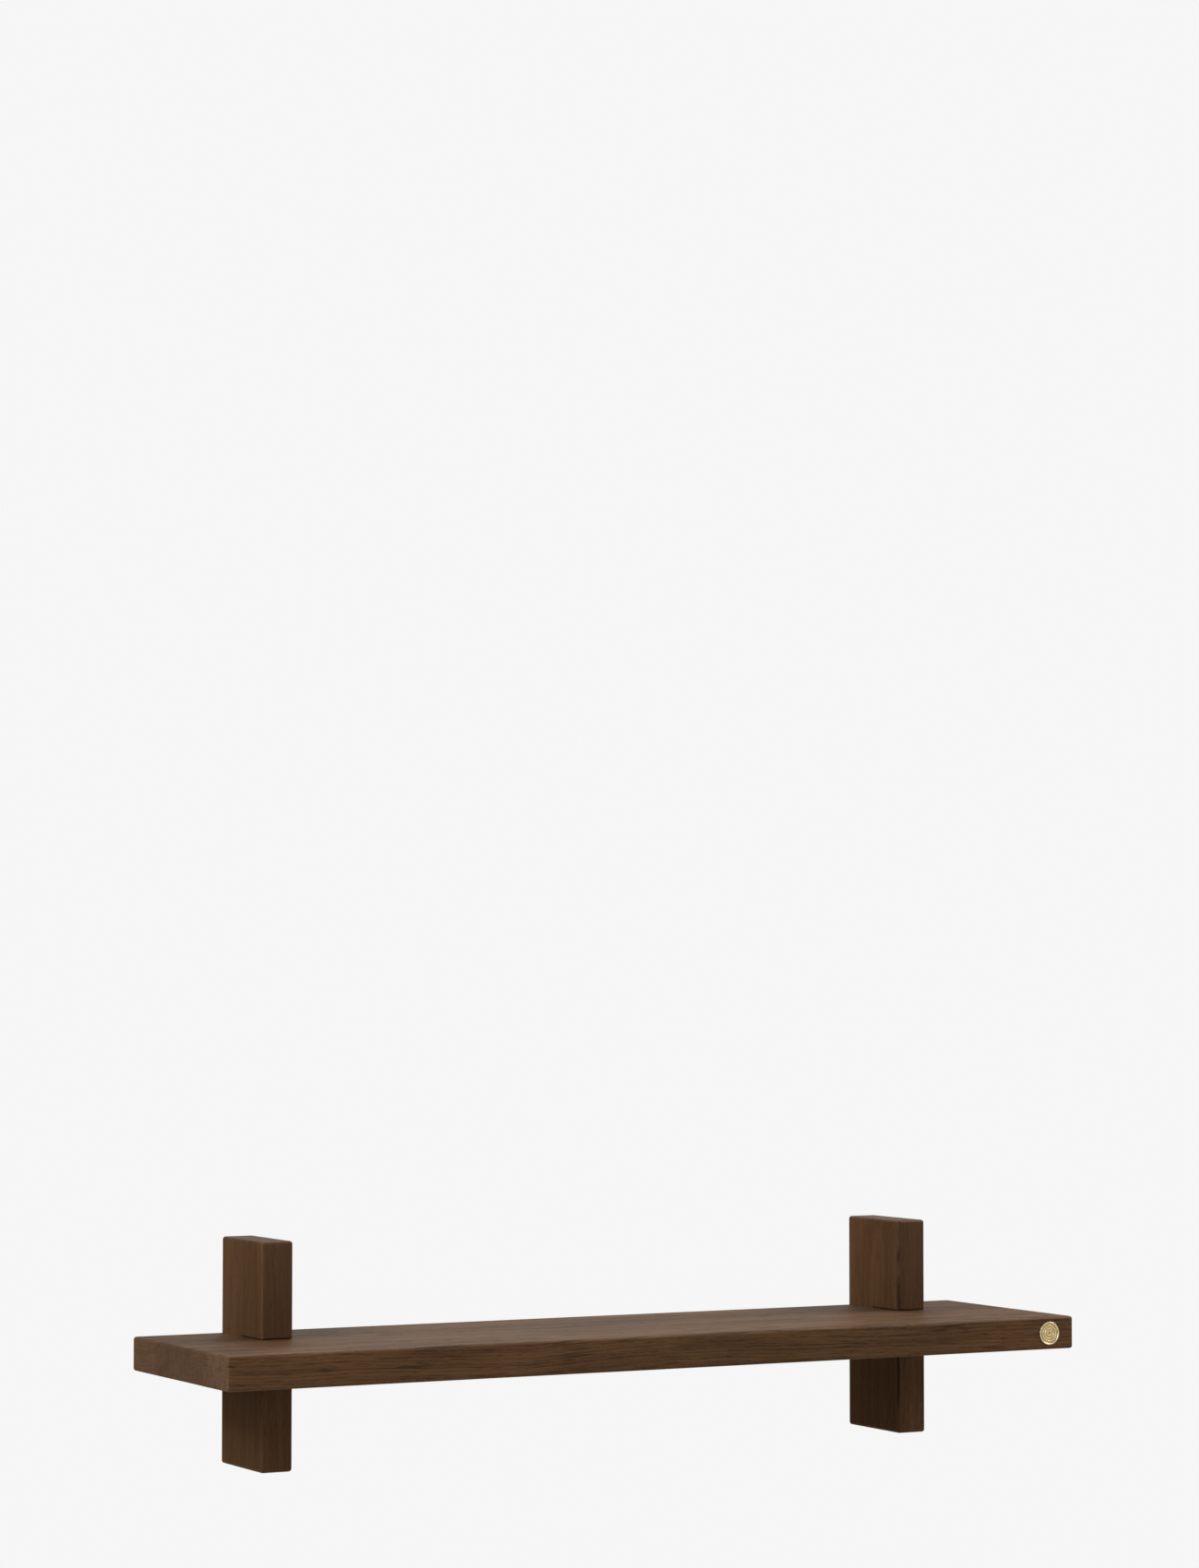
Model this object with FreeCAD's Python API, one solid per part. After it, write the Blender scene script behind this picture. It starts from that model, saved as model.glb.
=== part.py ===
"""Wall shelf: a solid oak board carried by two oak brackets, hung on two keyhole hangers.

The board is edge-glued from four full-length staves. Each bracket is one upright block.
Board and bracket meet in a halved joint: the board is notched from its back edge and the
bracket from its front face, so the board slides in from the front and rests on the
bracket's lower jaw. A steel keyhole hanger is let into the back of each bracket's upper
part, over a routed pocket for the head of the wall screw. A round brass badge with a pin
sits in a shallow recess near the right end of the board's front edge.

Frame: X to the right along the board, Y towards the wall, Z up. The wall plane is Y = 0,
and the origin is the middle of the board's back edge. Millimetres.
"""

import FreeCAD, Part

import os

# Woodwork
BOARD_LENGTH = 800.0
BOARD_DEPTH = 200.0
BOARD_THICKNESS = 28.0
BRACKET_WIDTH = 28.0
BRACKET_DEPTH = 84.0
BRACKET_RISE = 80.0  # height of a bracket above the board, and below it
BRACKET_SPACING = 614.0  # between the middles of the two brackets
EDGE_RADIUS = 2.5  # rounding of the outside edges
JAW_RADIUS = 1.5  # rounding of the bracket's edges around the board

# Halved joint
LAP = BRACKET_DEPTH / 2  # board and bracket are each cut this deep
SIDE_GAP = 0.15  # each side of the bracket, in the board's notch
TOP_GAP = 0.3  # above the board, under the bracket's upper jaw
END_GAP = 0.2  # between the bracket and the end of the board's notch

# Keyhole hanger: heights are from the middle of its plate
HANGER_HEIGHT = 54.0  # of that middle, above the origin
PLATE_LENGTH = 50.0
PLATE_WIDTH = 18.0
PLATE_THICKNESS = 2.0
PLATE_EDGE_RADIUS = 0.4
PLATE_GAP = 0.1  # all round the plate, in its recess
ENTRY_HEIGHT = -6.0
ENTRY_RADIUS = 4.75  # lets in the wall screw's head
SLOT_HEIGHT = 6.0  # centre of the slot's upper end, where the wall screw's neck hangs
SLOT_RADIUS = 2.6
POCKET_WIDTH = 13.0
POCKET_LENGTH = 28.0
POCKET_DEPTH = 9.0  # behind the plate

# Countersunk wood screw
SCREW_HEIGHTS = {"lower": -19.0, "upper": 19.0}
SCREW_LENGTH = 16.0
SCREW_POINT_LENGTH = 3.0
SCREW_HEAD_RADIUS = 3.4
SCREW_HEAD_SINK = 0.1  # below the face of the plate
SCREW_SHANK_RADIUS = 1.75
CROSS_LENGTH = 3.8
CROSS_WIDTH = 0.9
CROSS_DEPTH = 1.2

# Brass badge
BADGE_FROM_END = 25.0  # its centre, from the board's right end
BADGE_RADIUS = 10.0
BADGE_RECESS_DEPTH = 1.5
BADGE_GAP = 0.1  # all round the badge and its pin
BADGE_FIELD_RISE = 0.2  # above the board's front edge
BADGE_RIM_RISE = 0.6
BADGE_RIM_WIDTH = 1.2
BADGE_RIM_CHAMFER = 0.25
BADGE_RING_RADII = (1.6, 3.9, 6.2)  # inner radii of the raised rings
BADGE_RING_WIDTH = 0.9
BADGE_RING_RISE = 0.4
PIN_RADIUS = 1.5
PIN_LENGTH = 8.0

# Worked out from the above
HALF_LENGTH = BOARD_LENGTH / 2
HALF_THICKNESS = BOARD_THICKNESS / 2
JAW_HEIGHT = HALF_THICKNESS + TOP_GAP  # of the upper jaw's underside
BRACKET_TOP = HALF_THICKNESS + BRACKET_RISE
BADGE_X = HALF_LENGTH - BADGE_FROM_END
PAST = 10.0  # how far a cut runs past the face that it opens

STAVES = ("board_stave_back", "board_stave_mid_back", "board_stave_mid_front", "board_stave_front")
STAVE_WIDTH = BOARD_DEPTH / len(STAVES)
SIDES = {"left": -BRACKET_SPACING / 2, "right": BRACKET_SPACING / 2}


def block(x_span, y_span, z_span):
    """A box between two limits along each axis."""
    spans = (x_span, y_span, z_span)
    sizes = [high - low for low, high in spans]
    corner = FreeCAD.Vector(*[low for low, high in spans])
    return Part.makeBox(*sizes, corner)


def upright_slot(x, bottom, top, radius, y_span):
    """A round-ended slot shape that stands upright, from one y to another."""
    y = y_span[0]
    low = bottom + radius
    high = top - radius
    corners = [FreeCAD.Vector(x + side * radius, y, z) for side, z in ((1, low), (1, high), (-1, high), (-1, low))]
    crown = FreeCAD.Vector(x, y, top)
    foot = FreeCAD.Vector(x, y, bottom)
    outline = [
        Part.Arc(corners[1], crown, corners[2]).toShape(),
        Part.LineSegment(corners[2], corners[3]).toShape(),
        Part.Arc(corners[3], foot, corners[0]).toShape(),
        Part.LineSegment(corners[0], corners[1]).toShape(),
    ]
    return Part.Face(Part.Wire(outline)).extrude(FreeCAD.Vector(0, y_span[1] - y, 0))


def turned(profile, x, z):
    """A solid turned about a line along Y at (x, z), from a closed outline of (radius, y) points."""
    points = [FreeCAD.Vector(x + radius, y, z) for radius, y in profile]
    outline = Part.makePolygon(points + points[:1])
    return Part.Face(outline).revolve(FreeCAD.Vector(x, 0, z), FreeCAD.Vector(0, 1, 0), 360)


def disc(x, z, radius, y_span):
    """A plain cylinder along Y."""
    base = FreeCAD.Vector(x, y_span[0], z)
    return Part.makeCylinder(radius, y_span[1] - y_span[0], base, FreeCAD.Vector(0, 1, 0))


def board():
    """The whole board: rounded, with a notch for each bracket and the badge's recess and pin hole."""
    body = block((-HALF_LENGTH, HALF_LENGTH), (-BOARD_DEPTH, 0), (-HALF_THICKNESS, HALF_THICKNESS))
    body = body.makeFillet(EDGE_RADIUS, body.Edges)
    reach = BRACKET_WIDTH / 2 + SIDE_GAP
    for x in SIDES.values():
        notch = block((x - reach, x + reach), (-LAP - END_GAP, PAST), (-BOARD_THICKNESS, BOARD_THICKNESS))
        body = body.cut(notch)
    floor = BADGE_RECESS_DEPTH - BOARD_DEPTH
    recess = disc(BADGE_X, 0, BADGE_RADIUS + BADGE_GAP, (-BOARD_DEPTH - PAST, floor))
    pin_hole = disc(BADGE_X, 0, PIN_RADIUS + BADGE_GAP, (-BOARD_DEPTH - PAST, floor + PIN_LENGTH + BADGE_GAP))
    return body.cut(recess).cut(pin_hole)


def board_staves():
    """The board divided along its glue lines, from the back edge to the front."""
    whole = board()
    staves = {}
    for i, name in enumerate(STAVES):
        back = -i * STAVE_WIDTH
        strip = block((-BOARD_LENGTH, BOARD_LENGTH), (back - STAVE_WIDTH, back), (-BOARD_THICKNESS, BOARD_THICKNESS))
        staves[name] = whole.common(strip)
    return staves


def is_jaw_edge(edge):
    """True for the edges of the two faces that close on the board, apart from their inside corners."""
    ends = [vertex.Point for vertex in edge.Vertexes]
    on_a_jaw = any(all(abs(end.z - z) < 1e-6 for end in ends) for z in (-HALF_THICKNESS, JAW_HEIGHT))
    inside = all(abs(end.y + LAP) < 1e-6 for end in ends)
    return on_a_jaw and not inside


def bracket(x):
    """One upright block, notched from the front for the board and hollowed behind for the hanger."""
    half = BRACKET_WIDTH / 2
    body = block((x - half, x + half), (-BRACKET_DEPTH, 0), (-BRACKET_TOP, BRACKET_TOP))
    body = body.makeFillet(EDGE_RADIUS, body.Edges)
    notch = block((x - PAST - half, x + PAST + half), (-BRACKET_DEPTH - PAST, -LAP), (-HALF_THICKNESS, JAW_HEIGHT))
    body = body.cut(notch)
    body = body.makeFillet(JAW_RADIUS, [edge for edge in body.Edges if is_jaw_edge(edge)])
    reach = PLATE_LENGTH / 2 + PLATE_GAP
    recess = upright_slot(
        x, HANGER_HEIGHT - reach, HANGER_HEIGHT + reach, PLATE_WIDTH / 2 + PLATE_GAP, (-PLATE_THICKNESS, PAST)
    )
    reach = POCKET_LENGTH / 2
    pocket = upright_slot(
        x, HANGER_HEIGHT - reach, HANGER_HEIGHT + reach, POCKET_WIDTH / 2, (-PLATE_THICKNESS - POCKET_DEPTH, PAST)
    )
    body = body.cut(recess).cut(pocket)
    for height in SCREW_HEIGHTS.values():
        body = body.cut(screw_blank(x, height))
    return body


def hanger_plate(x):
    """A flat steel plate with round ends, a keyhole and two countersunk screw holes."""
    low = HANGER_HEIGHT - PLATE_LENGTH / 2
    high = HANGER_HEIGHT + PLATE_LENGTH / 2
    plate = upright_slot(x, low, high, PLATE_WIDTH / 2, (-PLATE_THICKNESS, 0))
    plate = plate.makeFillet(PLATE_EDGE_RADIUS, [edge for edge in plate.Edges if edge.BoundBox.YMin > -1e-6])
    through = (-PLATE_THICKNESS - PAST, PAST)
    entry = disc(x, HANGER_HEIGHT + ENTRY_HEIGHT, ENTRY_RADIUS, through)
    slot_top = HANGER_HEIGHT + SLOT_HEIGHT + SLOT_RADIUS
    slot = upright_slot(x, HANGER_HEIGHT + ENTRY_HEIGHT, slot_top, SLOT_RADIUS, through)
    plate = plate.cut(entry).cut(slot)
    for height in SCREW_HEIGHTS.values():
        plate = plate.cut(screw_blank(x, height)).cut(screw_mouth(x, height))
    return plate


def screw_blank(x, height):
    """A countersunk wood screw without its drive."""
    neck = -SCREW_HEAD_SINK - (SCREW_HEAD_RADIUS - SCREW_SHANK_RADIUS)
    profile = [
        (0, -SCREW_HEAD_SINK),
        (SCREW_HEAD_RADIUS, -SCREW_HEAD_SINK),
        (SCREW_SHANK_RADIUS, neck),
        (SCREW_SHANK_RADIUS, SCREW_POINT_LENGTH - SCREW_LENGTH),
        (0, -SCREW_LENGTH),
    ]
    return turned(profile, x, HANGER_HEIGHT + height)


def screw_mouth(x, height):
    """The way out of a countersink, over the screw's head."""
    return disc(x, HANGER_HEIGHT + height, SCREW_HEAD_RADIUS, (-SCREW_HEAD_SINK, PAST))


def hanger_screw(x, height):
    """A countersunk wood screw with a cross-shaped drive."""
    z = HANGER_HEIGHT + height
    deep = (-SCREW_HEAD_SINK - CROSS_DEPTH, PAST)
    long = CROSS_LENGTH / 2
    short = CROSS_WIDTH / 2
    across = block((x - long, x + long), deep, (z - short, z + short))
    upright = block((x - short, x + short), deep, (z - long, z + long))
    return screw_blank(x, height).cut(across).cut(upright)


def brass_badge():
    """A turned disc with a raised rim, three raised rings and a pin behind."""
    front = -BOARD_DEPTH
    back = front + BADGE_RECESS_DEPTH
    field = front - BADGE_FIELD_RISE
    rim = front - BADGE_RIM_RISE
    ring = field - BADGE_RING_RISE / 2
    profile = [(0, back + PIN_LENGTH), (0, field)]
    for inner in BADGE_RING_RADII:
        outer = inner + BADGE_RING_WIDTH
        profile += [(inner, field), (inner, ring), (outer, ring), (outer, field)]
    inside = BADGE_RADIUS - BADGE_RIM_WIDTH
    profile += [
        (inside, field),
        (inside, rim),
        (BADGE_RADIUS - BADGE_RIM_CHAMFER, rim),
        (BADGE_RADIUS, rim + BADGE_RIM_CHAMFER),
        (BADGE_RADIUS, back),
        (PIN_RADIUS, back),
        (PIN_RADIUS, back + PIN_LENGTH),
    ]
    return turned(profile, BADGE_X, 0)


def pieces():
    """Every piece of the shelf, by the name of its node."""
    made = board_staves()
    made["brass_badge"] = brass_badge()
    for side, x in SIDES.items():
        made[f"bracket_{side}"] = bracket(x)
        made[f"hanger_plate_{side}"] = hanger_plate(x)
        for place, height in SCREW_HEIGHTS.items():
            made[f"hanger_screw_{side}_{place}"] = hanger_screw(x, height)
    return made


os.makedirs("parts", exist_ok=True)
for name, shape in pieces().items():
    if len(shape.Solids) != 1 or not shape.isValid():
        raise ValueError(f"{name} is not one valid solid")
    shape.Solids[0].exportStep(f"parts/{name}.step")
    box = shape.BoundBox
    print(f"{name}: {box.XLength:.1f} x {box.YLength:.1f} x {box.ZLength:.1f} mm, {shape.Volume / 1000:.2f} cm3")
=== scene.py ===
import math

import bmesh
import bpy
import numpy as np
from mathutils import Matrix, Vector


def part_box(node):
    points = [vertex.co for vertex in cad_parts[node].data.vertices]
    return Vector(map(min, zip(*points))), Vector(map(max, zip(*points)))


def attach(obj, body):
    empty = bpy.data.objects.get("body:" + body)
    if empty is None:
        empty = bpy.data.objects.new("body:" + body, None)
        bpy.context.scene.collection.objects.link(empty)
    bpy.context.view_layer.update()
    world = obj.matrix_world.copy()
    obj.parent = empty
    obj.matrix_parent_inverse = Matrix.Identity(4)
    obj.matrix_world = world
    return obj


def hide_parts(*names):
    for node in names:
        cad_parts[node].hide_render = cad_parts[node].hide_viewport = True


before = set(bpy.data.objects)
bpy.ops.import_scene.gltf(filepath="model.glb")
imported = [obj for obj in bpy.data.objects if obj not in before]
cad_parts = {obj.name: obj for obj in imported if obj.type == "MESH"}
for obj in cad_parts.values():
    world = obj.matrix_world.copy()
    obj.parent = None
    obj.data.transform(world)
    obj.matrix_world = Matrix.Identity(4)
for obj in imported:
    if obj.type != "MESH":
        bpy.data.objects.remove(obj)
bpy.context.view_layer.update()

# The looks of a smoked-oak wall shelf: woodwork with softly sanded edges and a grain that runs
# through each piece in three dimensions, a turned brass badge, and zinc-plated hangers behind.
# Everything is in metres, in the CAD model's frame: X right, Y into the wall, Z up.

MM = 0.001
STAVES = ("board_stave_back", "board_stave_mid_back", "board_stave_mid_front", "board_stave_front")
SIDES = ("left", "right")
SCREW_PLACES = ("lower", "upper")

# Woodwork and hanger recess, as the CAD model has them
EDGE_RADIUS = 2.5 * MM
JAW_RADIUS = 1.5 * MM
SIDE_GAP = 0.15 * MM
TOP_GAP = 0.3 * MM
END_GAP = 0.2 * MM
PLATE_GAP = 0.1 * MM
POCKET_WIDTH = 13.0 * MM
POCKET_LENGTH = 28.0 * MM
POCKET_DEPTH = 9.0 * MM

# Hangers, their screws and the badge
PLATE_EDGE = 0.4 * MM
KEYHOLE_ENTRY = 4.75 * MM
KEYHOLE_SLOT = 2.6 * MM
KEYHOLE_REACH = 6.0 * MM
SCREW_HEAD = 3.4 * MM
SCREW_SHANK = 1.75 * MM
SCREW_CORE = 1.15 * MM
SCREW_PITCH = 1.6 * MM
SCREW_SMOOTH = 4.0 * MM
SCREW_POINT = 3.0 * MM
SCREW_EDGE = 0.15 * MM
CROSS_DEPTH = 1.2 * MM
CROSS_LENGTH = 3.8 * MM
CROSS_WIDTH = 0.9 * MM
CROSS_TAPER = 0.62
BADGE_GAP = 0.1 * MM
BADGE_DEPTH = 1.5 * MM
BADGE_FIELD = 0.2 * MM
BADGE_RIM_WIDTH = 1.2 * MM
BADGE_RING_WIDTH = 0.9 * MM
BADGE_RING_RISE = 0.2 * MM
BADGE_RINGS = (1.6 * MM, 3.9 * MM, 6.2 * MM)
BADGE_EDGE = 0.22 * MM
PIN_RADIUS = 1.5 * MM

# Hand sanding: how unevenly the edges are rounded, as a share of their radius, over what length
EDGE_WANDER = 0.16
WANDER_LENGTH = 90 * MM
BOARD_SEED = 11
BRACKET_SEED = 23
JAW_SEED = 5

SHARP_CORNER = math.radians(32)  # faces that meet at more than this aren't shaded as one
HAIR = 0.01 * MM  # places closer than this are the same
PAST = 5 * MM  # how far a cutting shape reaches beyond the face that it opens
FAR = 1.0  # beyond the end of any piece

BOARD_LOW = np.min([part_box(stave)[0] for stave in STAVES], axis=0)
BOARD_HIGH = np.max([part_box(stave)[1] for stave in STAVES], axis=0)


# ------------------------------------------------------------------ meshes

def closed_mesh(name, points, faces):
    """An object in the scene with the given skin, whose faces all look outwards."""
    mesh = bpy.data.meshes.new(name)
    mesh.from_pydata(np.asarray(points).tolist(), [], [list(map(int, face)) for face in faces])
    skin = bmesh.new()
    skin.from_mesh(mesh)
    bmesh.ops.recalc_face_normals(skin, faces=skin.faces)
    skin.to_mesh(mesh)
    skin.free()
    made = bpy.data.objects.new(name, mesh)
    bpy.context.scene.collection.objects.link(made)
    return made


def make_piece(name, points, faces, material, body, worn=None):
    """A new object that rides on a CAD body. worn says how rubbed each point is, from 0 to 1; on the badge,
    how proud it stands.
    """
    piece = closed_mesh(name, points, faces)
    if worn is not None:
        rubbing = piece.data.attributes.new("worn", "FLOAT", "POINT")
        rubbing.data.foreach_set("value", np.asarray(worn, np.float32))
    piece.data.materials.append(material)
    soften(piece)
    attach(piece, body)
    return piece


def soften(piece):
    """Smooth shading, except across real corners."""
    piece.data.polygons.foreach_set("use_smooth", [True] * len(piece.data.polygons))
    piece.data.set_sharp_from_angle(angle=SHARP_CORNER)


def carve(piece, points, faces):
    """Cuts a closed shape out of a piece."""
    cutter = closed_mesh("cutter", points, faces)
    cut = piece.modifiers.new("cut", "BOOLEAN")
    cut.object = cutter
    cut.solver = "EXACT"
    result = piece.evaluated_get(bpy.context.evaluated_depsgraph_get())
    carved = bpy.data.meshes.new_from_object(result)
    piece.modifiers.clear()
    old = piece.data
    piece.data = carved
    carved.name = old.name
    bpy.data.meshes.remove(old)
    bpy.data.objects.remove(cutter)
    soften(piece)


def loft(outlines):
    """A closed shape through (x, z) outlines of the same length, given as (y, outline) in order."""
    count = len(outlines[0][1])
    points = [(x, y, z) for y, outline in outlines for x, z in outline]
    faces = [list(range(count)), list(range(len(points) - count, len(points)))]
    for row in range(len(outlines) - 1):
        start = row * count
        for i in range(count):
            j = (i + 1) % count
            faces.append((start + i, start + j, start + j + count, start + i + count))
    return points, faces


def prism(outline, back, front):
    """A closed shape with the same (x, z) outline at two distances along Y."""
    return loft([(back, outline), (front, outline)])


def stadium(centre, width, length, arc=24):
    """The (x, z) outline of an upright slot with round ends."""
    radius = width / 2
    rise = length / 2 - radius
    angles = np.linspace(0, math.pi, arc + 1)
    top = [(centre[0] + radius * math.cos(a), centre[1] + rise + radius * math.sin(a)) for a in angles]
    foot = [(centre[0] - radius * math.cos(a), centre[1] - rise - radius * math.sin(a)) for a in angles]
    return top + foot


def lathe(profile, centre, segments, ripple=None):
    """A solid turned about a line along Y, from (radius, y) points that start and end on that line.

    ripple gives what to add to the radius at an angle and a y.
    """
    x, z = centre
    points = [(x, profile[0][1], z), (x, profile[-1][1], z)]
    angles = np.arange(segments) * 2 * math.pi / segments
    for radius, y in profile[1:-1]:
        for angle in angles:
            reach = radius + (ripple(angle, y) if ripple else 0)
            points.append((x + reach * math.cos(angle), y, z + reach * math.sin(angle)))
    rows = len(profile) - 2
    faces = []
    for i in range(segments):
        j = (i + 1) % segments
        faces.append((0, 2 + i, 2 + j))
        last = 2 + (rows - 1) * segments
        faces.append((1, last + j, last + i))
        for row in range(rows - 1):
            start = 2 + row * segments
            faces.append((start + i, start + j, start + segments + j, start + segments + i))
    return points, faces


def rounded(profile, radius, steps=4):
    """The profile with each corner between its two ends turned into a small arc."""
    made = [profile[0]]
    for before, corner, after in zip(profile, profile[1:], profile[2:]):
        corner = np.array(corner)
        back = np.array(before) - corner
        ahead = np.array(after) - corner
        cut = min(radius, np.linalg.norm(back) / 2.2, np.linalg.norm(ahead) / 2.2)
        start = corner + back / np.linalg.norm(back) * cut
        end = corner + ahead / np.linalg.norm(ahead) * cut
        for t in np.linspace(0, 1, steps + 1):
            made.append(tuple((1 - t) ** 2 * start + 2 * t * (1 - t) * corner + t ** 2 * end))
    return made + [profile[-1]]


def lattice(planes, solid):
    """The skin of a body made of box-shaped cells: its points and its four-cornered faces.

    planes are the cells' borders along each axis, and solid says which cells are filled.
    """
    filled = np.pad(solid, 1).astype(int)
    quads = []
    for axis in range(3):
        step = np.diff(filled, axis=axis)
        inner = [slice(1, -1)] * 3
        inner[axis] = slice(None)
        cells = np.argwhere(step[tuple(inner)] != 0)
        first, second = [a for a in range(3) if a != axis]
        corners = np.repeat(cells[:, None, :], 4, axis=1)
        corners[:, (1, 2), first] += 1
        corners[:, (2, 3), second] += 1
        quads.append(corners)
    quads = np.concatenate(quads)
    corners, faces = np.unique(quads.reshape(-1, 3), axis=0, return_inverse=True)
    points = np.stack([planes[a][corners[:, a]] for a in range(3)], axis=1)
    return points, faces.reshape(-1, 4)


def easing(radius, steps=5):
    """Distances from an edge that space the lattice evenly round its rounding."""
    return radius * np.tan(np.linspace(0, math.pi / 4, steps + 1))


def planes_between(low, high, spacing, *extra, ends=(True, True)):
    """Lattice planes from low to high, close together at rounded ends, with any extra ones."""
    near = easing(EDGE_RADIUS)
    inner_low = low + EDGE_RADIUS if ends[0] else low
    inner_high = high - EDGE_RADIUS if ends[1] else high
    planes = list(np.linspace(inner_low, inner_high, round((inner_high - inner_low) / spacing) + 1))
    if ends[0]:
        planes += list(low + EDGE_RADIUS - near)
    if ends[1]:
        planes += list(high - EDGE_RADIUS + near)
    return np.unique(np.round(planes + list(extra), 6))


def wander(points, length, seed):
    """A smooth field between -1 and 1 with about the given wavelength, the same each run."""
    rng = np.random.default_rng(seed)
    total = np.zeros(len(points))
    waves = 6
    for _ in range(waves):
        direction = rng.normal(size=3)
        direction /= np.linalg.norm(direction)
        pitch = length * rng.uniform(0.6, 1.6)
        total += np.sin(points @ direction * (2 * math.pi / pitch) + rng.uniform(0, 2 * math.pi))
    return total / waves


def eased(points, low, high, radius, seed):
    """Points of a sharp box moved onto the same box with its edges rounded, a little unevenly."""
    reach = radius * (1 + EDGE_WANDER * wander(points, WANDER_LENGTH, seed))[:, None]
    inside = np.clip(points, low + reach, high - reach)
    offset = points - inside
    length = np.linalg.norm(offset, axis=1, keepdims=True)
    pulled = inside + offset * (reach / np.maximum(length, 1e-12))
    return np.where(length > reach, pulled, points)


def rubbed(points, sharp):
    """How far each point was rounded off, from 0 on a flat face to 1 in the middle of an edge."""
    most = EDGE_RADIUS * (math.sqrt(2) - 1)
    return np.clip(np.linalg.norm(points - sharp, axis=1) / most, 0, 1)


# --------------------------------------------------------------- materials

class Recipe:
    """One material's nodes, added with short calls. A value is a number or another node's output."""

    def __init__(self, name):
        self.material = bpy.data.materials.new(name)
        self.material.use_nodes = True
        self.tree = self.material.node_tree
        self.shader = self.tree.nodes["Principled BSDF"]
        coordinates = self.tree.nodes.new("ShaderNodeTexCoord")
        self.place = coordinates.outputs["Object"]
        self.normal = coordinates.outputs["Normal"]

    def node(self, kind, inputs, **settings):
        made = self.tree.nodes.new(kind)
        for key, value in settings.items():
            setattr(made, key, value)
        for key, value in inputs.items():
            self.feed(made.inputs[key], value)
        return made

    def feed(self, socket, value):
        if isinstance(value, bpy.types.NodeSocket):
            self.tree.links.new(value, socket)
        else:
            socket.default_value = value

    def math(self, operation, *values):
        return self.node("ShaderNodeMath", dict(enumerate(values)), operation=operation).outputs[0]

    def vector(self, operation, *values):
        return self.node("ShaderNodeVectorMath", dict(enumerate(values)), operation=operation).outputs[0]

    def noise(self, place, detail=2.0, roughness=0.5, output="Fac"):
        inputs = {"Vector": place, "Scale": 1.0, "Detail": detail, "Roughness": roughness}
        return self.node("ShaderNodeTexNoise", inputs).outputs[output]

    def noise_along(self, distance, scale, detail):
        """Noise that changes along one number only."""
        inputs = {"W": distance, "Scale": scale, "Detail": detail}
        return self.node("ShaderNodeTexNoise", inputs, noise_dimensions="1D").outputs["Fac"]

    def length(self, vector):
        made = self.node("ShaderNodeVectorMath", {0: vector}, operation="LENGTH")
        return made.outputs["Value"]

    def worn(self):
        """How rubbed the surface is, from 0 to 1, as the mesh says; on the badge, how proud it stands."""
        return self.node("ShaderNodeAttribute", {}, attribute_name="worn").outputs["Fac"]

    def span(self, value, low, high, to_low=0.0, to_high=1.0):
        """value from low to high, mapped smoothly to the new limits and held there."""
        inputs = {"Value": value, "From Min": low, "From Max": high, "To Min": to_low, "To Max": to_high}
        made = self.node("ShaderNodeMapRange", inputs, interpolation_type="SMOOTHSTEP")
        return made.outputs["Result"]

    def blend(self, factor, first, second, how="MIX"):
        made = self.node("ShaderNodeMix", {}, data_type="RGBA", blend_type=how)
        self.feed(made.inputs[0], factor)
        self.feed(made.inputs[6], first)
        self.feed(made.inputs[7], second)
        return made.outputs[2]

    def curve(self, value, stops):
        """value from 0 to 1 read off a line through (position, height) stops."""
        ramp = self.node("ShaderNodeValToRGB", {"Fac": value})
        elements = ramp.color_ramp.elements
        while len(elements) < len(stops):
            elements.new(0.5)
        for element, (position, height) in zip(elements, stops):
            element.position = position
            element.color = (height, height, height, 1)
        return ramp.outputs["Color"]

    def relief(self, height, depth):
        """Bump from a height of 0 to 1 that stands for a real depth in metres."""
        inputs = {"Height": height, "Distance": depth, "Strength": 1.0}
        bump = self.node("ShaderNodeBump", inputs)
        self.feed(self.shader.inputs["Normal"], bump.outputs["Normal"])


# Smoked oak, as linear colours
OAK_LIGHT = (0.160, 0.077, 0.0300, 1)
OAK_DARK = (0.056, 0.024, 0.0085, 1)
OAK_RED = (0.118, 0.047, 0.0175, 1)
OAK_PORE = (0.024, 0.011, 0.0045, 1)
# painted shade: a dark streak along the right bracket's front arris
OAK_PAINTED_SHADE = (0.028, 0.009, 0.0030, 1)
OAK_WORN = (0.210, 0.110, 0.0500, 1)
# end grain: partly its own paler tone, partly a painted sheen
OAK_END_GRAIN_AND_SHEEN = (0.150, 0.088, 0.0540, 1)
RING_WIDTH = 2.9 * MM
PORE_RELIEF = 0.16 * MM


def grain_space(wood, along, origin):
    """Object coordinates with the grain as the first axis. The other two start at the origin."""
    split = wood.node("ShaderNodeSeparateXYZ", {0: wood.place}).outputs
    across = [axis for axis in "XYZ" if axis != along]
    across = [wood.math("SUBTRACT", split[axis], offset) for axis, offset in zip(across, origin)]
    return wood.node("ShaderNodeCombineXYZ", {0: split[along], 1: across[0], 2: across[1]}).outputs[0]


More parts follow.
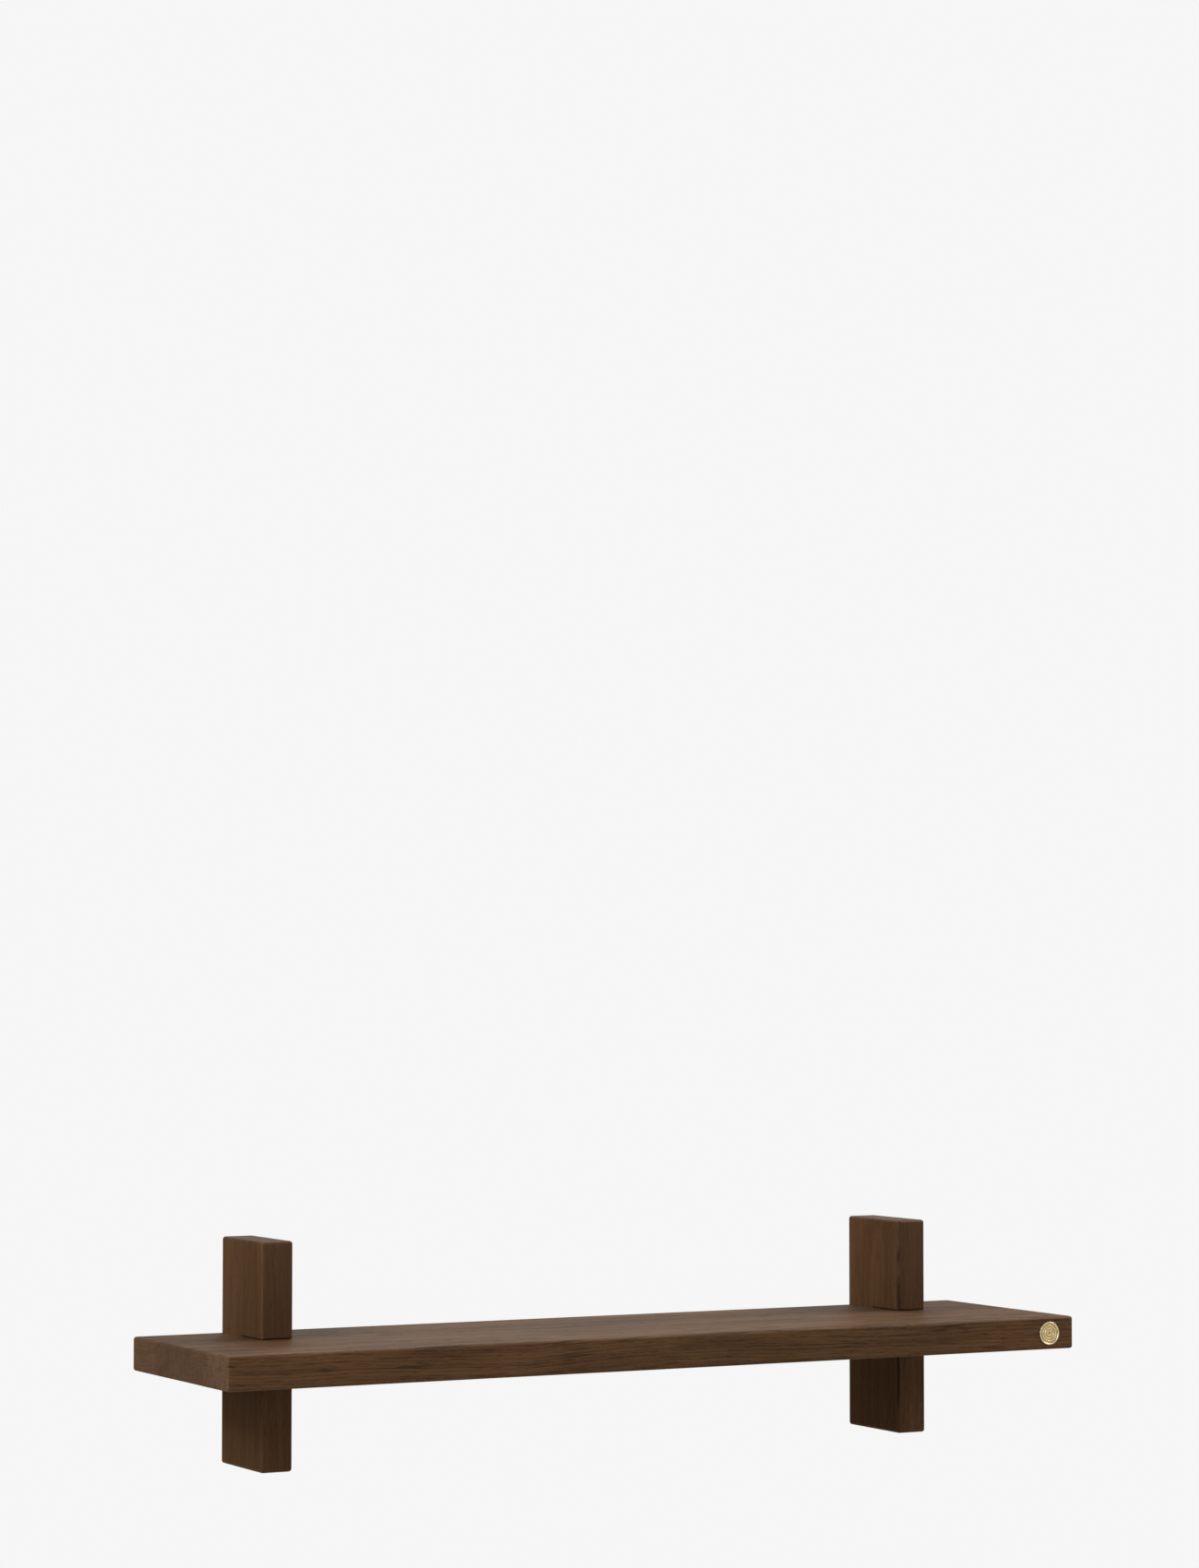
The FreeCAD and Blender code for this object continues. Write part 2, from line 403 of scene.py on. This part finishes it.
def painted_arris_shade(wood, along, line):
    """Painted shade: a thin, broken dark streak that wavers about a line along the grain and fades towards
    both ends.
    """
    near = grain_space(wood, along, line)
    waver = wood.noise(wood.vector("MULTIPLY", near, (24.0, 0.0, 0.0)), detail=2.0, output="Color")
    waver = wood.vector("MULTIPLY", wood.vector("SUBTRACT", waver, (0.5, 0.5, 0.5)), (0.0, 3 * MM, 3 * MM))
    near = wood.vector("MULTIPLY", wood.vector("ADD", near, waver), (0.0, 1.0, 1.0))
    core = wood.span(wood.length(near), 0.8 * MM, 2.6 * MM, 1.0, 0.0)
    broken = wood.noise(wood.vector("MULTIPLY", wood.place, (30.0, 30.0, 30.0)), detail=2.0)
    broken = wood.span(broken, 0.30, 0.46, 0.2, 0.9)
    reach = wood.node("ShaderNodeSeparateXYZ", {0: wood.place}).outputs[along]
    fade = wood.span(wood.math("ABSOLUTE", reach), 58 * MM, 76 * MM, 1.0, 0.15)
    return wood.math("MULTIPLY", core, wood.math("MULTIPLY", broken, fade))


def wandering_log(wood, grain):
    """The grain's place in the log, whose growth wanders. That draws arches on flat-sawn faces."""
    slow = wood.vector("MULTIPLY", grain, (2.6, 9.0, 9.0))
    drift = wood.vector("SUBTRACT", wood.noise(slow, detail=1.5, output="Color"), (0.5, 0.5, 0.5))
    drift = wood.vector("MULTIPLY", drift, (0.0, 26 * MM, 26 * MM))
    kink = wood.vector("MULTIPLY", grain, (14.0, 45.0, 45.0))
    kinked = wood.vector("SUBTRACT", wood.noise(kink, detail=3.0, output="Color"), (0.5, 0.5, 0.5))
    kinked = wood.vector("MULTIPLY", kinked, (0.0, 5.0 * MM, 5.0 * MM))
    return wood.vector("ADD", wood.vector("ADD", grain, drift), kinked)


def early_wood(wood, radius):
    """Growth rings: 1 in the porous early band, 0 in the dense late wood, weaker in some years."""
    rings = wood.math("DIVIDE", radius, RING_WIDTH)
    rings = wood.math("MULTIPLY_ADD", wood.noise_along(rings, 0.45, 1.0), 1.8, rings)
    year = wood.math("FLOOR", rings)
    season = wood.math("FRACT", rings)
    stops = ((0.0, 0.75), (0.07, 1.0), (0.3, 0.45), (0.5, 0.12), (0.92, 0.0), (1.0, 0.75))
    early = wood.curve(season, stops)
    vigour = wood.node("ShaderNodeTexWhiteNoise", {"W": year}, noise_dimensions="1D").outputs["Value"]
    return wood.math("MULTIPLY", early, wood.span(vigour, 0.0, 1.0, 0.45, 1.0))


def open_pores(wood, log, early):
    """Vessels cut open: long pores, mostly in the early wood."""
    vessels = wood.noise(wood.vector("MULTIPLY", log, (75.0, 2300.0, 2300.0)), detail=1.0)
    crowding = wood.math("MULTIPLY_ADD", early, -0.10, 0.66)
    return wood.span(wood.math("SUBTRACT", vessels, crowding), 0.0, 0.05)


def ray_flecks(wood, log, radius):
    """Thin plates that stand out from the pith and show as flecks where a face is cut along them."""
    parts = wood.node("ShaderNodeSeparateXYZ", {0: log}).outputs
    angle = wood.math("ARCTAN2", parts["Z"], parts["Y"])
    polar = wood.node("ShaderNodeCombineXYZ", {0: parts["X"], 1: angle, 2: radius}).outputs[0]
    rays = wood.noise(wood.vector("MULTIPLY", polar, (70.0, 190.0, 60.0)), detail=1.5)
    return wood.span(rays, 0.60, 0.70)


def end_grain_of(wood, along):
    """1 on faces cut across the fibres, 0 on faces along them."""
    axis = (1, 0, 0) if along == "X" else (0, 0, 1)
    facing = wood.node("ShaderNodeVectorMath", {0: wood.normal, 1: axis}, operation="DOT_PRODUCT")
    return wood.span(wood.math("ABSOLUTE", facing.outputs["Value"]), 0.55, 0.9)


def scuffed(wood, grain):
    """Rubbed edges, broken up by small scuffs."""
    scuffs = wood.noise(wood.vector("MULTIPLY", grain, (90.0, 90.0, 90.0)), detail=4.0)
    scuffs = wood.span(scuffs, 0.35, 0.7)
    return wood.math("MULTIPLY", wood.worn(), wood.math("MULTIPLY_ADD", scuffs, 0.6, 0.4))


def oak(name, along, pith, tone=1.0, contrast=1.0, shade_line=None):
    """Oak whose fibres run along X or Z, cut from a log with its middle at the pith.

    The pith, and the line of a painted dark shade streak if there is one, are pairs of places on the two
    other axes, in the order X, Y, Z.
    """
    wood = Recipe(name)
    grain = grain_space(wood, along, pith)
    log = wandering_log(wood, grain)
    radius = wood.length(wood.vector("MULTIPLY", log, (0.0, 1.0, 1.0)))
    early = early_wood(wood, radius)
    pores = open_pores(wood, log, early)
    rays = ray_flecks(wood, log, radius)
    end_grain = end_grain_of(wood, along)
    worn = scuffed(wood, grain)

    # Fibres: fine and broad streaks along the grain, and patches that took the smoke unevenly
    fine = wood.noise(wood.vector("MULTIPLY", log, (14.0, 750.0, 750.0)), detail=3.0, roughness=0.6)
    broad = wood.noise(wood.vector("MULTIPLY", log, (3.0, 130.0, 130.0)), detail=3.0, roughness=0.55)
    streaks = wood.math("MULTIPLY_ADD", fine, 0.5, wood.math("MULTIPLY", broad, 0.5))
    streaks = wood.span(streaks, 0.34, 0.66)
    patchy = wood.noise(wood.vector("MULTIPLY", grain, (5.0, 16.0, 16.0)), detail=2.0)

    # Short darker dashes where the stain sank in, and redder stretches
    dashes = wood.noise(wood.vector("MULTIPLY", log, (26.0, 380.0, 380.0)), detail=2.0, roughness=0.55)
    dashes = wood.span(dashes, 0.54, 0.68)
    ruddy = wood.noise(wood.vector("MULTIPLY", log, (7.0, 55.0, 55.0)), detail=2.5, roughness=0.6)
    ruddy = wood.span(ruddy, 0.48, 0.70)

    # The figure is softer across the fibres
    strength = wood.math("MULTIPLY_ADD", wood.math("SUBTRACT", 1.0, end_grain), 0.6, 0.4)
    figure = wood.math("MULTIPLY_ADD", early, 0.50, wood.math("MULTIPLY", dashes, 0.34))
    darkness = wood.math("MULTIPLY_ADD", figure, strength, wood.math("MULTIPLY", streaks, 0.36))
    darkness = wood.math("MULTIPLY_ADD", darkness, contrast, 0.4 * (1.0 - contrast))

    colour = wood.blend(wood.math("MULTIPLY", ruddy, 0.7), OAK_LIGHT, OAK_RED)
    # End grain paler and greyer: partly its own tone, partly a painted sheen
    colour = wood.blend(wood.math("MULTIPLY", end_grain, 0.7), colour, OAK_END_GRAIN_AND_SHEEN)
    colour = wood.blend(darkness, colour, OAK_DARK)
    pore_strength = 0.75 * min(1.0, contrast)
    colour = wood.blend(wood.math("MULTIPLY", pores, pore_strength), colour, OAK_PORE)
    colour = wood.blend(wood.math("MULTIPLY", rays, 0.22), colour, OAK_WORN)
    colour = wood.blend(wood.math("MULTIPLY", worn, 0.18), colour, OAK_WORN)
    # Painted shade: a dark streak along the bracket's front arris, where shade falls
    if shade_line:
        colour = wood.blend(painted_arris_shade(wood, along, shade_line), colour, OAK_PAINTED_SHADE)
    shade = wood.span(patchy, 0.3, 0.7, 0.88 * tone, 1.10 * tone)
    shade = wood.node("ShaderNodeCombineColor", {0: shade, 1: shade, 2: shade}).outputs[0]
    wood.feed(wood.shader.inputs["Base Color"], wood.blend(1.0, colour, shade, "MULTIPLY"))

    rough = wood.math("MULTIPLY_ADD", pores, 0.20, wood.span(streaks, 0.0, 1.0, 0.52, 0.62))
    rough = wood.math("MULTIPLY_ADD", rays, -0.06, rough)
    rough = wood.math("MULTIPLY_ADD", worn, -0.06, rough)
    wood.feed(wood.shader.inputs["Roughness"], rough)
    wood.shader.inputs["IOR"].default_value = 1.46
    wood.shader.inputs["Specular IOR Level"].default_value = 0.3

    sunk = wood.math("MULTIPLY_ADD", pores, 0.5, wood.math("MULTIPLY", early, 0.28))
    sunk = wood.math("MULTIPLY_ADD", fine, 0.22, sunk)
    wood.relief(wood.math("SUBTRACT", 1.0, sunk), PORE_RELIEF)
    return wood.material


# Plated steel and brass, as linear colours
ZINC = (0.56, 0.57, 0.58, 1)
YELLOW_ZINC = (0.66, 0.56, 0.34, 1)
BRASS_FIELD = (0.76, 0.56, 0.26, 1)
# paler brass on the raised rim and rings: a painted highlight
BRASS_PAINTED_HIGHLIGHT = (1.0, 0.92, 0.68, 1)
BRASS_BROWNED = (0.36, 0.24, 0.10, 1)


def zinc(name, colour, brushed):
    """Zinc-plated steel: faint crystals, fine brushing along Z and duller, darker patches."""
    metal = Recipe(name)
    crystals = metal.node("ShaderNodeTexVoronoi", {"Vector": metal.place, "Scale": 420.0}).outputs["Color"]
    crystals = metal.node("ShaderNodeSeparateColor", {0: crystals}).outputs[0]
    lines = metal.noise(metal.vector("MULTIPLY", metal.place, (5200.0, 5200.0, 90.0)), detail=2.0)
    stains = metal.noise(metal.vector("MULTIPLY", metal.place, (180.0, 180.0, 120.0)), detail=4.0)
    dull = metal.span(stains, 0.42, 0.68)
    pale = tuple(min(1.0, c * 1.12) for c in colour[:3]) + (1,)
    deep = tuple(c * 0.72 for c in colour[:3]) + (1,)
    tint = metal.blend(metal.math("MULTIPLY", crystals, 0.5), pale, colour)
    metal.feed(metal.shader.inputs["Base Color"], metal.blend(metal.math("MULTIPLY", dull, 0.55), tint, deep))
    rough = metal.math("MULTIPLY_ADD", dull, 0.16, metal.span(crystals, 0.0, 1.0, 0.30, 0.38))
    metal.feed(metal.shader.inputs["Roughness"], metal.math("MULTIPLY_ADD", lines, 0.08, rough))
    metal.shader.inputs["Metallic"].default_value = 1.0
    height = metal.math("MULTIPLY_ADD", lines, brushed, metal.math("MULTIPLY", crystals, 0.25))
    metal.relief(height, 0.02 * MM)
    return metal.material


def brass(name, centre):
    """Satin brass with turning marks about an axis along Y, browner where polish doesn't reach, and painted
    paler as a highlight on its raised rim and rings.
    """
    metal = Recipe(name)
    split = metal.node("ShaderNodeSeparateXYZ", {0: metal.place}).outputs
    across = metal.math("SUBTRACT", split["X"], centre[0])
    upright = metal.math("SUBTRACT", split["Z"], centre[1])
    reach = metal.length(metal.node("ShaderNodeCombineXYZ", {0: across, 2: upright}).outputs[0])
    marks = metal.noise_along(metal.math("MULTIPLY", reach, 9000.0), 1.0, 2.0)
    speckled = metal.vector("MULTIPLY", metal.place, (260.0, 260.0, 260.0))
    patina = metal.noise(speckled, detail=5.0, roughness=0.62)
    grime = metal.span(patina, 0.45, 0.72)
    proud = metal.worn()
    hollow = metal.math("SUBTRACT", 1.0, proud)
    # The raised rim and rings get paler brass: a painted highlight
    tint = metal.blend(proud, BRASS_FIELD, BRASS_PAINTED_HIGHLIGHT)
    browned = metal.math("MULTIPLY", grime, metal.math("MULTIPLY_ADD", hollow, 0.32, 0.08))
    metal.feed(metal.shader.inputs["Base Color"], metal.blend(browned, tint, BRASS_BROWNED))
    rough = metal.math("MULTIPLY_ADD", hollow, 0.16, metal.span(patina, 0.3, 0.7, 0.24, 0.36))
    metal.feed(metal.shader.inputs["Roughness"], rough)
    metal.shader.inputs["Metallic"].default_value = 1.0
    metal.relief(metal.math("MULTIPLY_ADD", patina, 0.4, marks), 0.012 * MM)
    return metal.material


# ------------------------------------------------------------------ pieces

# For each stave: where the log's middle lay as (Y, Z), how light it is, and how strong its figure is
STAVE_LOGS = {
    "board_stave_back": ((-0.020, 0.095), 1.02, 0.8),
    "board_stave_mid_back": ((-0.086, -0.072), 0.95, 0.8),
    "board_stave_mid_front": ((-0.112, 0.150), 1.04, 0.75),
    "board_stave_front": ((-0.163, -0.118), 1.01, 1.7),
}
# For each bracket the same, as (X, Y) from its middle, and where a painted shade line runs if it has one
BRACKET_LOGS = {
    "left": ((-0.088, 0.020), 0.98, 0.36, None),
    "right": ((0.074, -0.012), 1.06, 0.45, (-0.0137, -0.0415)),
}


def seat_badge(stave):
    """Turns the badge's round recess and pin hole into the front stave."""
    centre, radius, _, back = badge_place()
    outside = BOARD_LOW[1] - PAST
    floor = BOARD_LOW[1] + BADGE_DEPTH
    bottom = back + BADGE_GAP
    wall = radius + BADGE_GAP
    hole = PIN_RADIUS + BADGE_GAP
    profile = [(0, outside), (wall, outside), (wall, floor)]
    profile += [(hole, floor), (hole, bottom), (0, bottom)]
    carve(stave, *lathe(profile, centre, 160))


def board_stave(name):
    """One stave of the board, with the notches that fall in it."""
    low, high = (np.array(corner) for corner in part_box(name))
    ends = (low[1] < BOARD_LOW[1] + MM, high[1] > BOARD_HIGH[1] - MM)
    notches = []
    for side in SIDES:
        block_low, block_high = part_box(f"bracket_{side}")
        lap = (block_low.y + block_high.y) / 2
        if lap - END_GAP < high[1]:
            notches.append((block_low.x - SIDE_GAP, block_high.x + SIDE_GAP, lap - END_GAP))
    walls = [wall for notch in notches for wall in notch[:2]]
    xs = planes_between(low[0], high[0], 3 * MM, *walls)
    ys = planes_between(low[1], high[1], 2.5 * MM, *[notch[2] for notch in notches], ends=ends)
    zs = planes_between(low[2], high[2], 2 * MM)
    solid = np.ones((len(xs) - 1, len(ys) - 1, len(zs) - 1), bool)
    for left, right, bottom in notches:
        gone_x = (xs[:-1] > left - HAIR) & (xs[1:] < right + HAIR)
        gone_y = ys[:-1] > bottom - HAIR
        solid[np.ix_(gone_x, gone_y)] = False
    sharp, faces = lattice((xs, ys, zs), solid)
    points = eased(sharp, BOARD_LOW, BOARD_HIGH, EDGE_RADIUS, BOARD_SEED)
    pith, tone, contrast = STAVE_LOGS[name]
    material = oak(name + "_oak", "X", pith, tone, contrast)
    piece = make_piece("wood_" + name, points, faces, material, "board", rubbed(points, sharp))
    if name == STAVES[-1]:
        seat_badge(piece)
    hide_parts(name)


def bracket_skin(low, high):
    """A block's skin before and after easing, with the mouth that takes the board."""
    lap = (low[1] + high[1]) / 2
    seat = BOARD_LOW[2]
    jaw = BOARD_HIGH[2] + TOP_GAP
    near = easing(JAW_RADIUS)
    xs = planes_between(low[0], high[0], 2 * MM, *(low[0] + near), *(high[0] - near))
    ys = planes_between(low[1], high[1], 2.5 * MM, *(low[1] + near), lap)
    zs = planes_between(low[2], high[2], 3 * MM, *(seat - near), *(jaw + near))
    solid = np.ones((len(xs) - 1, len(ys) - 1, len(zs) - 1), bool)
    open_y = ys[1:] < lap + HAIR
    open_z = (zs[:-1] > seat - HAIR) & (zs[1:] < jaw + HAIR)
    solid[np.ix_(np.full(len(xs) - 1, True), open_y, open_z)] = False
    sharp, faces = lattice((xs, ys, zs), solid)
    points = eased(sharp, low, high, EDGE_RADIUS, BRACKET_SEED)

    # The two jaws close on the board with edges of their own, which end at the lap
    in_front = sharp[:, 1] < lap + HAIR
    jaws = (
        (sharp[:, 2] > jaw - HAIR, (low[0], low[1], jaw), (high[0], FAR, FAR)),
        (sharp[:, 2] < seat + HAIR, (low[0], low[1], -FAR), (high[0], FAR, seat)),
    )
    for chosen, corner_low, corner_high in jaws:
        chosen = chosen & in_front
        corners = np.array(corner_low), np.array(corner_high)
        points[chosen] = eased(points[chosen], *corners, JAW_RADIUS, JAW_SEED)
    return sharp, points, faces


def seat_hanger(piece, side):
    """Sinks the hanger's recess and the pocket behind its keyhole into a bracket's back."""
    low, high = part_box(f"hanger_plate_{side}")
    centre = ((low.x + high.x) / 2, (low.z + high.z) / 2)
    width = high.x - low.x + 2 * PLATE_GAP
    length = high.z - low.z + 2 * PLATE_GAP
    carve(piece, *prism(stadium(centre, width, length), PAST, low.y))
    pocket = stadium(centre, POCKET_WIDTH, POCKET_LENGTH)
    carve(piece, *prism(pocket, PAST, low.y - POCKET_DEPTH))


def bracket(side):
    """One upright block, notched for the board and hollowed at its back for the hanger."""
    node = f"bracket_{side}"
    low, high = (np.array(corner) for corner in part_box(node))
    sharp, points, faces = bracket_skin(low, high)
    pith, tone, contrast, shade_line = BRACKET_LOGS[side]
    middle = (low + high) / 2
    pith = (middle[0] + pith[0], middle[1] + pith[1])
    if shade_line:
        shade_line = (middle[0] + shade_line[0], middle[1] + shade_line[1])
    material = oak(node + "_oak", "Z", pith, tone, contrast, shade_line)
    worn = rubbed(points, sharp)
    piece = make_piece("wood_" + node, points, faces, material, "brackets", worn)
    seat_hanger(piece, side)
    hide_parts(node)


def badge_place():
    """The badge's centre as (x, z), its radius, and its front and back along Y."""
    low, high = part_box("brass_badge")
    return ((low.x + high.x) / 2, (low.z + high.z) / 2), (high.x - low.x) / 2, low.y, high.y


def brass_badge():
    """A turned disc with a rounded rim, raised rings and the pin that holds it."""
    centre, radius, front, back = badge_place()
    floor = BOARD_LOW[1] + BADGE_DEPTH
    field = BOARD_LOW[1] - BADGE_FIELD
    ring = field - BADGE_RING_RISE
    inside = radius - BADGE_RIM_WIDTH
    slope = 0.08 * MM
    profile = [(0, field)]
    for inner in BADGE_RINGS:
        outer = inner + BADGE_RING_WIDTH
        profile += [(inner, field), (inner + slope, ring), (outer - slope, ring), (outer, field)]
    profile += [(inside - 0.15 * MM, field), (inside + 0.1 * MM, front), (radius, front)]
    profile += [(radius, floor), (PIN_RADIUS, floor), (PIN_RADIUS, back), (0, back)]
    profile = rounded(profile, BADGE_EDGE)
    points, faces = lathe(profile, centre, 144)
    # How proud each point stands; the brass paints the raised parts paler as a highlight
    proud = np.clip((field - np.array(points)[:, 1]) / BADGE_RING_RISE, 0, 1)
    piece = make_piece("turned_badge", points, faces, brass("badge_brass", centre), "board", proud)
    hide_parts("brass_badge")


def hanger_screw(side, place, material):
    """A countersunk wood screw with a rolled thread and a cross-shaped drive."""
    node = f"hanger_screw_{side}_{place}"
    low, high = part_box(node)
    centre = ((low.x + high.x) / 2, (low.z + high.z) / 2)
    neck = high.y - (SCREW_HEAD - SCREW_SHANK)
    start = high.y - SCREW_SMOOTH
    taper = low.y + SCREW_POINT

    def thread(angle, y):
        """What the thread adds to the core at an angle and a depth."""
        if y > start:
            return 0.0
        turn = (y / SCREW_PITCH - angle / (2 * math.pi)) % 1.0
        crest = max(0.0, 1.0 - abs(turn - 0.5) / 0.22)
        fade = min(1.0, (start - y) / SCREW_PITCH) * min(1.0, (y - low.y) / SCREW_POINT)
        return (SCREW_SHANK - SCREW_CORE) * crest * fade

    profile = [(0, high.y), (SCREW_HEAD, high.y), (SCREW_SHANK, neck), (SCREW_SHANK, start)]
    profile = rounded(profile, SCREW_EDGE)
    rows = round((start - low.y) / (SCREW_PITCH / 8))
    for y in np.linspace(start - 0.2 * MM, low.y, rows)[:-1]:
        profile.append((SCREW_CORE * min(1.0, (y - low.y) / (taper - low.y)), y))
    profile.append((0, low.y))
    turned = lathe(profile, centre, 32, thread)
    piece = make_piece("threaded_" + node, *turned, material, "brackets")
    for width, height in ((CROSS_LENGTH, CROSS_WIDTH), (CROSS_WIDTH, CROSS_LENGTH)):
        carve(piece, *socket_arm(centre, high.y, width, height))
    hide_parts(node)


def socket_arm(centre, face, width, height):
    """One arm of the cross drive: a bar that narrows towards its bottom."""
    outlines = []
    for y, share in ((face + PAST, 1.0), (face, 1.0), (face - CROSS_DEPTH, CROSS_TAPER)):
        half_width = width / 2 * share
        half_height = height / 2 * share
        corners = ((-1, -1), (1, -1), (1, 1), (-1, 1))
        outline = [(centre[0] + x * half_width, centre[1] + z * half_height) for x, z in corners]
        outlines.append((y, outline))
    return loft(outlines)


def plate_blank(low, high, centre):
    """A round-ended plate whose back edge is rolled over."""
    width = high.x - low.x
    length = high.z - low.z
    outlines = [(low.y, stadium(centre, width, length, 40))]
    for angle in np.linspace(0, math.pi / 2, 6):
        inset = PLATE_EDGE * (1 - math.cos(angle))
        y = high.y - PLATE_EDGE + PLATE_EDGE * math.sin(angle)
        outlines.append((y, stadium(centre, width - 2 * inset, length - 2 * inset, 40)))
    return loft(outlines)


def hanger_plate(side, material):
    """A stamped plate with round ends and a rolled edge, a keyhole and two countersunk holes."""
    node = f"hanger_plate_{side}"
    low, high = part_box(node)
    centre = ((low.x + high.x) / 2, (low.z + high.z) / 2)
    blank = plate_blank(low, high, centre)
    piece = make_piece("stamped_" + node, *blank, material, "brackets")

    outside = low.y - PAST
    entry = (centre[0], centre[1] - KEYHOLE_REACH)
    hole = [(0, outside), (KEYHOLE_ENTRY, outside), (KEYHOLE_ENTRY, PAST), (0, PAST)]
    carve(piece, *lathe(hole, entry, 72))
    slot_length = 2 * KEYHOLE_REACH + 2 * KEYHOLE_SLOT
    carve(piece, *prism(stadium(centre, 2 * KEYHOLE_SLOT, slot_length), outside, PAST))
    for place in SCREW_PLACES:
        screw_low, screw_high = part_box(f"hanger_screw_{side}_{place}")
        hole_centre = (centre[0], (screw_low.z + screw_high.z) / 2)
        neck = screw_high.y - (SCREW_HEAD - SCREW_SHANK)
        hole = [(0, outside), (SCREW_SHANK, outside), (SCREW_SHANK, neck)]
        hole += [(SCREW_HEAD, screw_high.y), (SCREW_HEAD, PAST), (0, PAST)]
        carve(piece, *lathe(hole, hole_centre, 64))
    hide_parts(node)


def woodwork():
    """The board's four staves and the two brackets."""
    for name in STAVES:
        board_stave(name)
    for side in SIDES:
        bracket(side)


def metalwork():
    """The badge, and a hanger plate with two screws in each bracket."""
    brass_badge()
    plate_zinc = zinc("zinc_plate", ZINC, 0.5)
    screw_zinc = zinc("yellow_zinc", YELLOW_ZINC, 0.1)
    for side in SIDES:
        hanger_plate(side, plate_zinc)
        for place in SCREW_PLACES:
            hanger_screw(side, place, screw_zinc)


woodwork()
metalwork()


# ------------------------------------------------------------------- stage

BACKGROUND = 0.9216
BOUNCE = 0.46  # light from straight below
AMBIENT = 0.014  # light from above the horizon
BOUNCE_TINT = (1.0, 0.91, 0.70, 1)
FLOOR_REACH = 40.0
FLOOR_DEPTH = 1.2  # the floor under a shelf hung at a common height
CAMERA_PLACE = (-1.6325, -3.1149, 0.3093)
CAMERA_YAW = 0.492  # turned to the right from straight at the wall, radians
CAMERA_RISE = 0.0484  # tilted up from level, radians
CAMERA_LENS = 92.07

# Where each softbox stands, its side in metres, its power and its tint
SOFTBOXES = {
    "overhead_back": ((0.2, 1.6, 2.2), 1.6, 24.7, (0.98, 1.0, 0.96)),
    "left": ((-2.5, -0.85, 0.9), 1.4, 19.9, (0.97, 0.99, 1.0)),
    "left_high": ((-2.2, -0.8, 1.8), 1.4, 42.0, (0.88, 0.92, 1.0)),
    "front_panel": ((1.4, -3.1, 0.1), 2.6, 15.0, (1.0, 0.94, 0.80)),
    "right_high": ((2.2, -0.4, 1.6), 1.4, 50.0, (1.0, 0.96, 0.94)),
    "backdrop": ((2.0, 2.8, 0.5), 2.0, 10.4, (1.0, 0.91, 0.82)),
}
LIGHT_AIM = (0.0, -0.1, 0.0)


def softbox(name, place, size, watts, tint):
    """A square area light that looks at the shelf."""
    light = bpy.data.lights.new(name, "AREA")
    light.size = size
    light.energy = watts
    light.color = tint
    lamp = bpy.data.objects.new(name, light)
    bpy.context.scene.collection.objects.link(lamp)
    lamp.location = place
    away = lamp.location - Vector(LIGHT_AIM)
    lamp.rotation_euler = away.to_track_quat("Z", "Y").to_euler()


def surroundings():
    """An even pale backdrop to the camera. To all else it is dim, with light bounced from below."""
    world = bpy.data.worlds.new("studio")
    bpy.context.scene.world = world
    world.use_nodes = True
    tree = world.node_tree
    tree.nodes.clear()
    seen = tree.nodes.new("ShaderNodeBackground")
    seen.inputs["Color"].default_value = (1, 1, 1, 1)
    seen.inputs["Strength"].default_value = BACKGROUND
    direction = tree.nodes.new("ShaderNodeTexCoord")
    split = tree.nodes.new("ShaderNodeSeparateXYZ")
    tree.links.new(direction.outputs["Generated"], split.inputs[0])
    level = tree.nodes.new("ShaderNodeMapRange")
    level.interpolation_type = "SMOOTHSTEP"
    for key, value in (("From Min", -0.6), ("From Max", 0.05), ("To Min", BOUNCE), ("To Max", AMBIENT)):
        level.inputs[key].default_value = value
    tree.links.new(split.outputs["Z"], level.inputs["Value"])
    bounce = tree.nodes.new("ShaderNodeBackground")
    bounce.name = "bounce"
    bounce.inputs["Color"].default_value = BOUNCE_TINT
    tree.links.new(level.outputs["Result"], bounce.inputs["Strength"])
    rays = tree.nodes.new("ShaderNodeLightPath")
    mix = tree.nodes.new("ShaderNodeMixShader")
    out = tree.nodes.new("ShaderNodeOutputWorld")
    tree.links.new(rays.outputs["Is Camera Ray"], mix.inputs[0])
    tree.links.new(bounce.outputs[0], mix.inputs[1])
    tree.links.new(seen.outputs[0], mix.inputs[2])
    tree.links.new(mix.outputs[0], out.inputs[0])


def pale_floor():
    """A wide floor as pale as the backdrop. It neither lights the shelf nor shows in its metal."""
    mesh = bpy.data.meshes.new("floor")
    corners = ((-1, -1), (1, -1), (1, 1), (-1, 1))
    points = [(x * FLOOR_REACH, y * FLOOR_REACH, -FLOOR_DEPTH) for x, y in corners]
    mesh.from_pydata(points, [], [(0, 1, 2, 3)])
    floor = bpy.data.objects.new("floor", mesh)
    bpy.context.scene.collection.objects.link(floor)
    pale = Recipe("pale_floor")
    pale.shader.inputs["Base Color"].default_value = (0, 0, 0, 1)
    pale.shader.inputs["Specular IOR Level"].default_value = 0.0
    pale.shader.inputs["Emission Color"].default_value = (1, 1, 1, 1)
    pale.shader.inputs["Emission Strength"].default_value = BACKGROUND
    mesh.materials.append(pale.material)
    floor.visible_diffuse = False
    floor.visible_glossy = False
    floor.visible_shadow = False


def camera():
    """The camera, a little to the left of the shelf and slightly above it."""
    lens = bpy.data.cameras.new("camera")
    lens.lens = CAMERA_LENS
    eye = bpy.data.objects.new("camera", lens)
    bpy.context.scene.collection.objects.link(eye)
    eye.location = CAMERA_PLACE
    eye.rotation_euler = (math.pi / 2 + CAMERA_RISE, 0, -CAMERA_YAW)
    bpy.context.scene.camera = eye
    bpy.context.scene.view_settings.view_transform = "Standard"


def stage():
    """Pale floor and surroundings, soft lights and the camera."""
    pale_floor()
    surroundings()
    for name, (place, size, watts, tint) in SOFTBOXES.items():
        softbox(name, place, size, watts, tint)
    camera()


stage()
